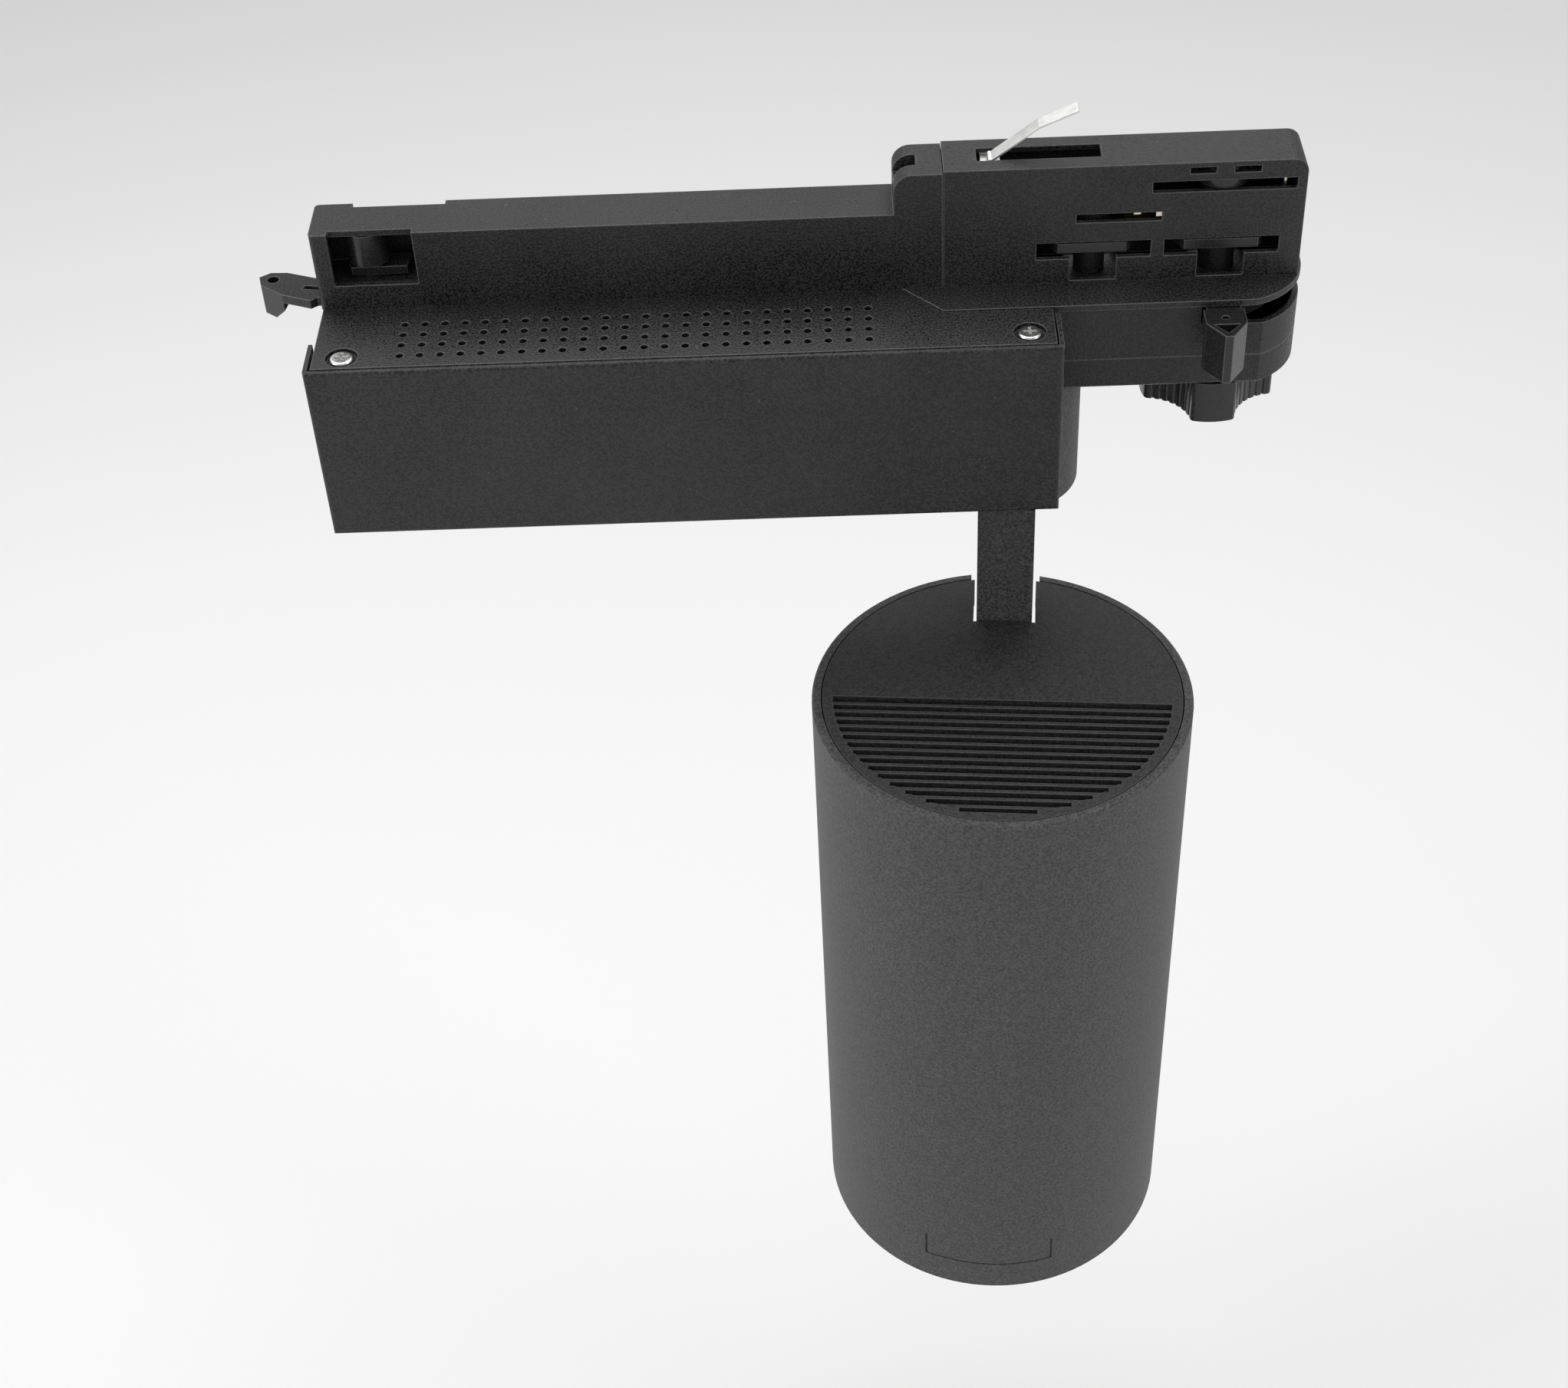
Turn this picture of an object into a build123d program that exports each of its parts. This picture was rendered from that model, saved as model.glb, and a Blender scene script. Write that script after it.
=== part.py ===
from build123d import *
import os
from math import cos, radians, sin, sqrt

# Track spotlight with an in-track adapter and an integrated driver box.
# Millimetres. +X runs along the track, +Y to the back, +Z up into the track.
# The origin is on the adapter's centre line, level with the face that seats on the
# track, at the seam between the adapter and the dummy bar beside it.

# ---- in-track adapter ----
SHELL_LEN = 87.3
HALF_W = 7.25
SHELL_TOP = 32.2
WALL = 1.3
DECK_Z = 12.6
DECK_T = 1.2
# ---- flange and neck under it ----
FLANGE_T = 1.7
FLANGE_HALF = 17.7
NECK_HALF = 16.8
NECK_END_X = 70.5
NECK_END_R = 18.5
NECK_LEFT = -1.4
NECK_SEAM = -16.7
NECK_BOTTOM = -25.2
NECK_WALL = 1.6
NECK_POSTS = [(5.5, -11.5), (5.5, 11.5), (30.0, 11.5), (50.5, 11.5)]
# ---- locking rotors, link and selector ----
ROTOR_X = 67.9
ROTOR2_X = 36.4
WING_Z = 7.9
WING_T = 2.6
CRANK_R = 9.0
CRANK_ANGLE = -135.0
LINK_Z = -14.8
LINK_T = 2.5
RING_R = 14.8
KNOB_TOP = -25.5
KNOB_H = 11.7
KNOB_R = 16.9
VALLEY_OUT = 24.0
VALLEY_R = 11.5
SPINDLE_R = 2.4
RUN = 0.05
# ---- dummy bar ----
BAR_LEFT = -154.4
BAR_RIGHT = -0.15
BAR_TOP = 20.9
BLOCK_LEFT = -12.0
BLOCK_TOP = 31.6
LATCH_X = -141.5
HEEL_R = 5.4
# ---- driver box ----
PLATE_TOP = -0.5
PLATE_T = 2.0
BOX_BOTTOM = -50.3
TRAY_LEFT = -154.2
TRAY_RIGHT = -1.6
TRAY_BACK = 17.0
TRAY_FRONT = -32.6
STRIP_BACK = -19.2
STRIP_RIGHT = 26.4
COVER_FRONT = -33.9
COVER_LEFT = -155.9
COVER_RIGHT = 27.9
TRAY_WALL = 1.5
VENT_X0 = -132.8
VENT_DX = 4.955
VENT_Y0 = -28.0
VENT_DY = 4.43
SCREWS = [(-146.9, -28.0), (19.9, -27.4)]
BOARD_Z = -44.0
BOARD_POSTS = [(-140, -24), (-140, 8), (-14, -24), (-14, 8)]
# ---- swivel, arm and head ----
PAN_X = 17.6
REST_PAN = -5.0
BARREL_R = 18.2
BARREL_TOP = -25.5
BARREL_BOTTOM = -63.4
SWIVEL_SCREWS = [(-13.2, 2.0), (13.2, 2.0)]
ARM_W = 15.0
ARM_T = 6.0
ARM_FRONT = -16.8
PIVOT_Y = -13.8
PIVOT_Z = -126.0
HEAD_Y = -46.5
HEAD_R = 50.0
HEAD_WALL = 2.4
HEAD_TOP = -100.9
HEAD_LEN = 195.5
CAP_T = 3.0
SLOT_W = 16.8
LOUVRES = 15
LOUVRE_PITCH = 2.85
LOUVRE_HALF = 0.95
TAB_HALF = 18.7
TAB_LOW = 11.2
TAB_HIGH = 20.8
SINK_Z = -156.0
LED_SCREW_X = 15.0
LED_LEAD_X = 8.0
LED_LEAD_Y = -31.5


def block(x0, x1, y0, y1, z0, z1):
    return Pos((x0 + x1) / 2, (y0 + y1) / 2, (z0 + z1) / 2) * Box(x1 - x0, y1 - y0, z1 - z0)


def rod(x, y, r, z0, z1):
    return Pos(x, y, (z0 + z1) / 2) * Cylinder(r, z1 - z0)


def slab(points, z0, z1):
    face = make_face(Polyline(*points, close=True))
    return Pos(0, 0, z0) * extrude(face, z1 - z0)


def cross_rod(x0, x1, y, z, r):
    return Pos((x0 + x1) / 2, y, z) * Rot(0, 90, 0) * Cylinder(r, x1 - x0)


def turned(part):
    """Swings a part of the lamp from straight ahead to the stored pan angle."""
    return part.rotate(Axis((PAN_X, 0, 0), (0, 0, 1)), REST_PAN)


def lead(points, r, bend):
    """A round wire along a route with an arc at each corner."""
    path = FilletPolyline(*points, radius=bend)
    start = Plane(origin=points[0], z_dir=Vector(*points[1]) - Vector(*points[0]))
    return sweep(start * Circle(r), path=path)


def union(parts):
    total = parts[0]
    for part in parts[1:]:
        total = total + part
    return total


# ---- adapter ---------------------------------------------------------------


def window(x0, x1, z0, z1, side):
    y = side * (HALF_W - WALL / 2)
    return block(x0, x1, y - 1.2, y + 1.2, z0, z1)


def lock_window(x, side):
    """T-shaped window that a locking wing swings out of."""
    return window(x - 14, x + 14, 6.7, 11.3, side) + window(x - 5.7, x + 5.7, 0.5, 7.0, side)


def adapter_shell():
    body = block(0, SHELL_LEN, -HALF_W, HALF_W, -FLANGE_T, SHELL_TOP)
    corner = body.edges().filter_by(Axis.Y).sort_by(Axis.Z)[-2:].sort_by(Axis.X)[-1]
    body = fillet(corner, 3.5)
    inner = HALF_W - WALL
    body = body - block(WALL, SHELL_LEN - WALL, -inner, inner, -0.2, SHELL_TOP - WALL)
    body = body + block(WALL, SHELL_LEN - WALL, -inner, inner, DECK_Z, DECK_Z + DECK_T)
    body = body - lock_window(ROTOR_X, -1) - lock_window(ROTOR_X, 1)
    body = body - lock_window(ROTOR2_X + 0.3, -1) - lock_window(ROTOR2_X + 0.3, 1)
    body = body - window(50.3, 85.0, 24.3, 27.3, -1) - window(50.3, 85.0, 24.3, 27.3, 1)
    body = body - window(32.2, 53.0, 16.7, 19.1, -1)
    body = body - window(59.0, 65.3, 29.2, 30.9, -1) - window(69.6, 76.0, 29.2, 30.9, -1)
    body = body - block(8.2, 38.2, -2.7, 3.2, SHELL_TOP - WALL - 1, SHELL_TOP + 1)
    body = body - rod(ROTOR_X, 0, 4.5 + RUN, -3, 1) - rod(ROTOR2_X, 0, 3.85 + RUN, -3, 1)
    body = body - rod(ROTOR_X, 0, 3.5 + RUN, DECK_Z - 1, DECK_Z + 3)
    body = body - rod(ROTOR2_X, 0, 2.4 + RUN, DECK_Z - 1, DECK_Z + 3)
    body = body - block(6.5, 13.5, -5, 5, -3, 1) - block(6.5, 13.5, -5, 5, DECK_Z - 1, DECK_Z + 3)
    return body


def neck_outline(inset, z0, z1):
    half = NECK_HALF - inset
    straight = block(NECK_LEFT + inset, NECK_END_X, -half, half, z0, z1)
    keep = block(NECK_END_X - 2, NECK_END_X + 30, -half, half, z0, z1)
    return straight + (rod(NECK_END_X, 0, NECK_END_R - inset, z0, z1) & keep)


def flange_plate():
    left = [(-10.2, -HALF_W), (-0.45, -FLANGE_HALF), (NECK_END_X, -FLANGE_HALF)]
    right = [(NECK_END_X, FLANGE_HALF), (-0.45, FLANGE_HALF), (-10.2, HALF_W)]
    plate = slab(left + right, -FLANGE_T, 0)
    keep = block(NECK_END_X - 2, NECK_END_X + 30, -FLANGE_HALF, FLANGE_HALF, -FLANGE_T, 0)
    return plate + (rod(NECK_END_X, 0, NECK_END_R, -FLANGE_T, 0) & keep)


def lever_mouth():
    """Gap in the neck wall that the locking lever swings through."""
    steps = [-107.0 + i * 124.0 / 8 for i in range(9)]
    rim = [(ROTOR_X + 40 * cos(radians(a)), 40 * sin(radians(a))) for a in steps]
    return slab([(ROTOR_X, 0)] + rim, -7.4, -FLANGE_T)


def adapter_base():
    body = neck_outline(0, NECK_SEAM, -FLANGE_T)
    body = body - neck_outline(NECK_WALL, NECK_SEAM - 1, -FLANGE_T)
    body = body - lever_mouth()
    for x, y in NECK_POSTS:
        body = body + rod(x, y, 3, NECK_SEAM, -FLANGE_T)
    inner = NECK_HALF - NECK_WALL / 2
    for x in (20.0, 48.0):
        body = body + block(x, x + 2.5, -inner, inner, -4.7, -FLANGE_T)
    body = body + flange_plate()
    body = body - block(-12, SHELL_LEN + RUN, -HALF_W - RUN, HALF_W + RUN, -FLANGE_T, 1)
    body = body - block(NECK_LEFT - 1, NECK_LEFT + 3, -5, 9.5, NECK_SEAM - 1, -9)
    for x, y in NECK_POSTS:
        body = body - rod(x, y, 1.2, NECK_SEAM - 1, NECK_SEAM + 9)
    return body


def neck_lower_shell():
    body = neck_outline(0, NECK_BOTTOM, NECK_SEAM)
    body = body - neck_outline(NECK_WALL, NECK_BOTTOM + 2.3, NECK_SEAM + 1)
    body = chamfer(body.faces().sort_by(Axis.Z)[0].outer_wire().edges(), 0.5)
    for x, y in NECK_POSTS:
        body = body + rod(x, y, 3, NECK_BOTTOM + 1, NECK_SEAM)
    body = body + rod(ROTOR_X, 0, 5, NECK_BOTTOM + 1, NECK_SEAM - 1.5)
    body = body - rod(ROTOR_X, 0, SPINDLE_R + RUN, NECK_BOTTOM - 1, NECK_SEAM)
    body = body - rod(PAN_X, 0, 5.05, NECK_BOTTOM - 1, NECK_SEAM)
    body = body - block(NECK_LEFT - 1, NECK_LEFT + 3, -5, 9.5, NECK_SEAM - 1.3, NECK_SEAM + 1)
    for x, y in NECK_POSTS:
        body = body - rod(x, y, 1.55, NECK_BOTTOM - 1, NECK_SEAM + 1)
        body = body - rod(x, y, 2.9, NECK_BOTTOM - 1, NECK_BOTTOM + 2)
    return body


def countersunk_screw(x, y, head_z, length, head_r, shank_r):
    """Screw with its head down and its shank pointing up."""
    head = rod(x, y, head_r, head_z, head_z + 1.8)
    drive = rod(x, y, head_r * 0.45, head_z - 1, head_z + 0.9)
    return (head - drive) + rod(x, y, shank_r, head_z + 1.8, head_z + length)


def neck_screws():
    z = NECK_BOTTOM + 0.1
    return union([countersunk_screw(x, y, z, 14.0, 2.7, 1.15) for x, y in NECK_POSTS])


# ---- locking lever, rotors, link -------------------------------------------


def wing(x, half_len, z):
    """Flat locking wing with rounded ends, stored along the track."""
    bar = block(x - half_len, x + half_len, -6.5, 6.5, z, z + WING_T)
    return bar & rod(x, 0, half_len + 0.3, z, z + WING_T)


def lock_rotor_right():
    body = rod(ROTOR_X, 0, 4.5, -6.0, DECK_Z - 0.1) + wing(ROTOR_X, 10.8, WING_Z)
    body = body + rod(ROTOR_X, 0, 3.5, DECK_Z - 0.2, DECK_Z + DECK_T + 0.4)
    return body - rod(ROTOR_X, 0, SPINDLE_R + 0.4, -8, 20)


def lock_lever():
    ring = rod(ROTOR_X, 0, RING_R, -7.0, -2.0)
    neck = block(ROTOR_X - 4.2, ROTOR_X + 4.2, -22.5, -RING_R + 2, -7.0, -2.0)
    grip = [(-5, -21.6), (-5, -24.4), (-1.0, -30.2), (1.0, -30.2), (5, -24.4), (5, -21.6)]
    wedge = slab([(ROTOR_X + x, y) for x, y in grip], -16.0, -2.0)
    wedge = chamfer(wedge.faces().sort_by(Axis.Z)[0].edges(), 0.4)
    top = block(ROTOR_X - 5, ROTOR_X + 5, -22, -18.6, -7.0, -2.0)
    pocket = slab([(ROTOR_X - 3.2, -25.0), (ROTOR_X, -28.6), (ROTOR_X + 3.2, -25.0)], -4.5, 0)
    body = ring + neck + wedge + top - pocket
    body = body - rod(ROTOR_X, -22.2, 0.9, -3.0, 0)
    body = body - rod(ROTOR_X, 0, 4.5 + RUN, -6.0 - RUN, 0)
    body = body - rod(ROTOR_X, 0, SPINDLE_R + 0.4, -9, 0)
    x, y = crank_pin(ROTOR_X)
    return body + rod(x, y, 1.5, LINK_Z - 0.2, -6.5)


def crank_pin(x):
    angle = radians(CRANK_ANGLE)
    return x + CRANK_R * cos(angle), CRANK_R * sin(angle)


def lock_rotor_left():
    body = rod(ROTOR2_X, 0, 3.85, -12.0, DECK_Z - 0.1) + wing(ROTOR2_X, 10.25, WING_Z)
    body = body + rod(ROTOR2_X, 0, 2.4, DECK_Z - 0.2, DECK_Z + DECK_T + 0.5)
    body = body + rod(ROTOR2_X, 0, 5.0, DECK_Z + DECK_T + 0.3, 20.0)
    x, y = crank_pin(ROTOR2_X)
    crank = Pos(ROTOR2_X, 0, -10.75) * Rot(0, 0, CRANK_ANGLE) * Pos(CRANK_R / 2, 0, 0)
    body = body + crank * Box(CRANK_R, 6, 2.5) + rod(x, y, 3, -12.0, -9.5)
    return body + rod(x, y, 1.5, LINK_Z - 0.2, -11.0)


def lock_link():
    (x0, y), (x1, _) = crank_pin(ROTOR2_X), crank_pin(ROTOR_X)
    z0, z1 = LINK_Z, LINK_Z + LINK_T
    bar = block(x0, x1, y - 2.5, y + 2.5, z0, z1)
    bar = bar + rod(x0, y, 3.2, z0, z1) + rod(x1, y, 3.2, z0, z1)
    return bar - rod(x1, y, 1.5 + RUN, z0 - 1, z1 + 1) - rod(x0, y, 1.8, z0 - 1, z1 + 1)


# ---- phase selector ----------------------------------------------------------


def selector_knob():
    z0, z1 = KNOB_TOP - KNOB_H, KNOB_TOP
    core = rod(ROTOR_X, 0, KNOB_R, z0, z1)
    for quarter in range(4):
        along = 45 + 90 * quarter
        x, y = ROTOR_X + VALLEY_OUT * cos(radians(along)), VALLEY_OUT * sin(radians(along))
        core = core - rod(x, y, VALLEY_R, z0 - 1, z1 + 1)
    sharp = [e for e in core.edges().filter_by(Axis.Z) if abs(rim_distance(e) - KNOB_R) < 0.05]
    core = fillet(sharp, 1.2)
    for along in (45, 135, 225, 315):
        core = core - union([grip_groove(along, step) for step in range(-3, 4)])
    core = chamfer(core.faces().sort_by(Axis.Z)[0].outer_wire().edges(), 0.2)
    core = core - rod(ROTOR_X, 0, 7, z0 - 1, z0 + 1.2)
    return core - rod(ROTOR_X, 0, SPINDLE_R, z0 + 3, z1 + 1)


def grip_groove(along, step):
    """One of the fine grooves in a valley of the knob."""
    x, y = ROTOR_X + VALLEY_OUT * cos(radians(along)), VALLEY_OUT * sin(radians(along))
    inward = radians(along + 180 + 10.0 * step)
    x, y = x + VALLEY_R * cos(inward), y + VALLEY_R * sin(inward)
    return rod(x, y, 0.4, KNOB_TOP - KNOB_H - 1, KNOB_TOP + 1)


def rim_distance(edge):
    c = edge.center()
    return sqrt((c.X - ROTOR_X) ** 2 + c.Y**2)


def selector_spindle():
    return rod(ROTOR_X, 0, SPINDLE_R, KNOB_TOP - KNOB_H + 3, 22.5)


def contact_drum():
    drum = rod(ROTOR_X, 0, 5.4, 20.5, 30.4) + rod(ROTOR_X, 0, 6.6, 24.6, 27.0)
    drum = drum - rod(ROTOR_X, 0, SPINDLE_R, 20, 22.5)
    return drum - block(ROTOR_X - 12, ROTOR_X, -1.6, 1.6, 25.0, 26.6)


def contact_blade():
    return block(ROTOR_X - 10.2, ROTOR_X - 0.1, -1.5, 1.5, 25.1, 26.5)


def phase_contacts():
    strips = []
    for side in (-1, 1):
        y = side * 4.2
        strips.append(block(82.0, 82.6, y - 1.2, y + 1.2, 14.2, 29.5))
    return union(strips)


def neutral_contact():
    carrier = block(44.5, 55.0, -2.6, -2.0, 13.9, 19.6)
    prongs = [block(46.1, 47.8, -6.8, -2.4, 18.3, 18.9), block(51.5, 53.0, -6.8, -2.4, 17.6, 18.9)]
    return union([carrier] + prongs)


def earth_anchor():
    plate = block(9.2, 14.0, -5.6, 5.6, 29.6, 30.4)
    return plate + block(9.2, 14.0, -5.6, -3.2, 30.3, 30.9) + block(9.2, 14.0, 3.7, 5.6, 30.3, 30.9)


def earth_leaf():
    y0, y1 = -2.0, 2.2
    line = [(11.5, 31.7), (23.0, 40.3), (32.3, 44.3), (32.5, 43.9), (23.2, 39.9), (11.8, 31.2)]
    leaf = Plane.XZ * make_face(Polyline(*line, close=True))
    strip = Pos(0, y0, 0) * extrude(leaf, -(y1 - y0))
    roll = Pos(11.5, (y0 + y1) / 2, 31.3) * Rot(90, 0, 0) * Cylinder(0.7, y1 - y0)
    return strip + roll


# ---- dummy bar and its latch ---------------------------------------------------


def track_bar():
    bar = block(BAR_LEFT, BLOCK_LEFT + 2, -HALF_W, HALF_W, PLATE_TOP, BAR_TOP)
    ends = bar.edges().filter_by(Axis.Z).sort_by(Axis.X)[:2]
    bar = fillet(ends, 1.2)
    head = block(BLOCK_LEFT, BAR_RIGHT, -HALF_W, HALF_W, PLATE_TOP, BLOCK_TOP)
    corner = head.edges().filter_by(Axis.Y).sort_by(Axis.Z)[-2:].sort_by(Axis.X)[0]
    head = fillet(corner, 4.5)
    body = bar + head
    inner = HALF_W - 1.6
    body = body - block(BAR_LEFT + 1.6, BLOCK_LEFT - 1, -inner, inner, PLATE_TOP - 1, BAR_TOP - 1.6)
    body = body - block(BLOCK_LEFT + 1, BAR_RIGHT - 1.4, -inner, inner, PLATE_TOP - 1, BLOCK_TOP - 7)
    body = body - block(BLOCK_LEFT - 1, -6.4, -2.5, 2.5, BLOCK_TOP - 4.5, BLOCK_TOP + 1)
    body = body + block(BAR_LEFT + 1, -127, -inner - 0.2, inner + 0.2, 4.4, 6.0)
    body = body - block(-150.0, -129.2, -HALF_W - 1, -inner + 0.3, 6.4, BAR_TOP + 1)
    body = body - block(-145.0, -122.0, inner - 0.1, HALF_W + 1, BAR_TOP - 3, BAR_TOP + 1)
    body = body - block(BAR_LEFT - 1, BAR_LEFT + 3, -inner, HALF_W + 1, PLATE_TOP - 1, 2.7)
    body = body - block(BAR_LEFT - 1, -130.5, inner - 1, HALF_W + 1, PLATE_TOP - 1, 2.7)
    return body - rod(LATCH_X, 0, 3.0 + RUN, 3, 7)


def latch_rotor():
    body = rod(LATCH_X, 0, 3.0, -2.3, 10.4)
    long_side = block(LATCH_X, LATCH_X + 9.6, -3.0, 3.0, 6.8, 9.0) & rod(LATCH_X, 0, 9.8, 6.8, 9.0)
    heel = block(LATCH_X - HEEL_R, LATCH_X, -3.0, 3.0, 6.8, 9.0) & rod(LATCH_X, 0, HEEL_R, 6.8, 9.0)
    body = body + long_side + heel
    return body + rod(LATCH_X, 0, 5.2, 10.2, 18.9)


def latch_lever():
    z0, z1 = -0.3, 2.1
    front = [(LATCH_X, -4.6), (-153.0, -5.2), (-155.4, -5.3), (-157.0, -6.5), (-164.4, -3.5)]
    tip = [(-170.4, 1.3), (-171.3, 4.9), (-168.6, 6.8), (-164.4, 6.6)]
    back = [(-156.9, 3.7), (-150.0, 3.7), (LATCH_X, 4.6)]
    body = slab(front + tip + back, z0, z1) + rod(LATCH_X, 0, 5.2, z0, z1)
    grip = [(-171.3, 4.9), (-168.6, 6.8), (-164.8, 5.4), (-163.2, -1.5), (-164.4, -3.5), (-170.4, 1.3)]
    taper = Plane.XZ * Polygon((-161.0, -7.0), (-168.2, -7.0), (-162.5, -0.4), (-161.0, -0.4), align=None)
    body = body + (slab(grip, -6.0, z0 + 0.5) - extrude(taper, 10, both=True))
    body = body - slab([(-159.6, -1.0), (-158.9, 0.4), (-150.0, -1.4), (-150.0, -2.9)], -1, 3)
    body = body - rod(-167.6, 3.6, 1.5, -3, 3)
    return body - rod(LATCH_X, 0, 3.0 + RUN, -1, 3)


# ---- driver box ----------------------------------------------------------------


def driver_top_plate():
    z0 = PLATE_TOP - PLATE_T
    body = block(TRAY_LEFT + 0.2, TRAY_RIGHT, TRAY_FRONT, TRAY_BACK, z0, PLATE_TOP)
    body = body + block(-20, STRIP_RIGHT - 0.2, TRAY_FRONT, -NECK_HALF - 0.2, z0, PLATE_TOP)
    grow = 0.1
    seat = [(-10.2 - grow, -HALF_W), (-0.5 - grow, -FLANGE_HALF - grow), (60, -FLANGE_HALF - grow)]
    seat = seat + [(60, FLANGE_HALF), (-0.5 - grow, FLANGE_HALF + grow), (-10.2 - grow, HALF_W)]
    body = body - slab(seat, -FLANGE_T - grow, 1)
    body = body - rod(LATCH_X, 0, 3.0 + RUN, z0 + 0.2, 1)
    holes = []
    for i in range(24):
        for j in range(4):
            holes.append(rod(VENT_X0 + VENT_DX * i, VENT_Y0 + VENT_DY * j, 1.0, z0 - 1, 1))
    body = body - holes
    for x, y in SCREWS:
        body = body - rod(x, y, 4.0, PLATE_TOP - 1.4, 1) - rod(x, y, 1.7, z0 - 1, 1)
    return body


def tray_plan(inset, z0, z1):
    main = block(TRAY_LEFT + inset, TRAY_RIGHT - inset, TRAY_FRONT, TRAY_BACK - inset, z0, z1)
    strip = block(-20, STRIP_RIGHT - inset, TRAY_FRONT, STRIP_BACK - inset, z0, z1)
    return main + strip


def driver_tray():
    top = PLATE_TOP - PLATE_T
    body = tray_plan(0, BOX_BOTTOM, top)
    corner = body.edges().filter_by(Axis.Z).group_by(Axis.Y)[-1]
    body = fillet(corner, 4.0)
    body = body - tray_plan(TRAY_WALL, BOX_BOTTOM + TRAY_WALL, top + 1)
    for x, y in SCREWS:
        body = body + rod(x, y, 3.6, BOX_BOTTOM + 1, top)
        body = body - rod(x, y, 1.25, top - 14, top + 1)
    for x, y in BOARD_POSTS:
        body = body + rod(x, y, 2.5, BOX_BOTTOM + 1, BOARD_Z)
    return body - block(TRAY_RIGHT - 3, TRAY_RIGHT + 1, -5, 9.5, -18, -9)


def driver_front_cover():
    top = PLATE_TOP - 0.4
    front = block(COVER_LEFT, COVER_RIGHT, COVER_FRONT, TRAY_FRONT - 0.1, BOX_BOTTOM, top)
    left = block(COVER_LEFT, COVER_LEFT + 1.0, COVER_FRONT, -21.4, BOX_BOTTOM, top)
    right = block(COVER_RIGHT - 1.2, COVER_RIGHT, COVER_FRONT, STRIP_BACK, BOX_BOTTOM, top)
    body = front + left + right
    edges = body.edges().filter_by(Axis.X).group_by(Axis.Y)[0]
    uprights = body.edges().filter_by(Axis.Z).group_by(Axis.Y)[0]
    return fillet(list(edges) + list(uprights), 0.9)


def cover_screws():
    screws = []
    for x, y in SCREWS:
        z = PLATE_TOP - 1.4
        head = rod(x, y, 3.0, z, z + 1.5)
        head = fillet(head.faces().sort_by(Axis.Z)[-1].edges(), 0.7)
        cross = Pos(x, y, z + 1.2) * (Box(3.2, 0.8, 1.2) + Box(0.8, 3.2, 1.2))
        screws.append(head - cross + rod(x, y, 1.2, z - 11, z))
    return union(screws)


def driver_board():
    board = block(-148, -8, -28, 12, BOARD_Z, BOARD_Z + 1.6)
    return board - block(-152, -143, -33, -23, BOARD_Z - 1, BOARD_Z + 3)


def transformer_core():
    z = BOARD_Z + 1.6
    frame = block(-92, -64, -20, 4, z + 2, z + 24)
    frame = frame - block(-87, -69, -21, 5, z + 6, z + 20)
    return frame + block(-81, -75, -12, -4, z + 5, z + 21)


def transformer_coil():
    z = BOARD_Z + 1.6
    coil = rod(-78, -8, 8.6, z + 6.3, z + 19.7)
    coil = coil - block(-81.2, -74.8, -12.2, -3.8, z, z + 30)
    legs = block(-92, -64, -20, -17, z, z + 1.9) + block(-92, -64, 1, 4, z, z + 1.9)
    return union([coil, legs])


def capacitors():
    z = BOARD_Z + 1.6
    cans = []
    for x, y, r, h in ((-118, -16, 8, 26), (-118, 3, 8, 26), (-40, -12, 6, 20)):
        can = rod(x, y, r, z, z + h)
        cans.append(fillet(can.faces().sort_by(Axis.Z)[-1].edges(), 0.8))
    return union(cans)


def line_choke():
    return Pos(-101, -8, BOARD_Z + 1.6 + 11.0) * Rot(0, 90, 0) * Torus(7.5, 3.4)


def terminal_blocks():
    z = BOARD_Z + 1.6
    blocks = []
    for y0, y1 in ((-6, 6), (6.6, 11.6)):
        blocks.append(block(-18, -9.5, y0, y1, z, z + 8))
    return union(blocks)


def heat_spreader():
    z = BOARD_Z + 1.6
    foot = block(-58, -46, -24, 8, z, z + 1.5)
    return foot + block(-47.5, -46, -24, 8, z, z + 24)


def mains_leads():
    wires = []
    for y in (-3.0, 0.0, 3.0):
        route = [(10, y, 22), (10, y, -12), (-13.5, y, -12), (-13.5, y, -34.2)]
        wires.append(lead(route, 0.8, 4))
    return union(wires)


def output_leads():
    wires = []
    for side in (-1, 1):
        y = side * 1.1
        route = [(-13.5, 9 + y, -34.2), (-13.5, 9 + y, -16), (PAN_X, y, -16), (PAN_X, y, -35.5)]
        wires.append(lead(route, 0.8, 3))
    return union(wires)


# ---- swivel and arm ------------------------------------------------------------


def pan_nipple():
    body = rod(PAN_X, 0, 8, NECK_BOTTOM + 2.3, NECK_BOTTOM + 4.3)
    body = body + rod(PAN_X, 0, 5.0, -35.0, NECK_BOTTOM + 2.4)
    return body - rod(PAN_X, 0, 3.0, -40, -15)


def pan_washer():
    z = BARREL_TOP - 4.1
    return rod(PAN_X, 0, 9.5, z - 1.0, z) - rod(PAN_X, 0, 5.05, z - 2, z + 1)


def pan_nut():
    z = BARREL_TOP - 5.1
    hexagon = extrude(RegularPolygon(8.6, 6), 4.0)
    return Pos(PAN_X, 0, z - 4.1) * hexagon - rod(PAN_X, 0, 5.05, z - 6, z + 1)


def swivel_barrel():
    body = rod(PAN_X, 0, BARREL_R, BARREL_BOTTOM + 3, BARREL_TOP)
    body = chamfer(body.faces().sort_by(Axis.Z)[-1].edges(), 0.5)
    body = body - rod(PAN_X, 0, BARREL_R - 2.2, BARREL_BOTTOM, BARREL_TOP - 4)
    for x, y in SWIVEL_SCREWS:
        body = body + rod(PAN_X + x, y, 3, BARREL_BOTTOM + 3, BARREL_TOP - 4)
        body = body - rod(PAN_X + x, y, 1.2, BARREL_BOTTOM, BARREL_BOTTOM + 16)
    return body - rod(PAN_X, 0, 5.0 + RUN, -40, -20)


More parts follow.
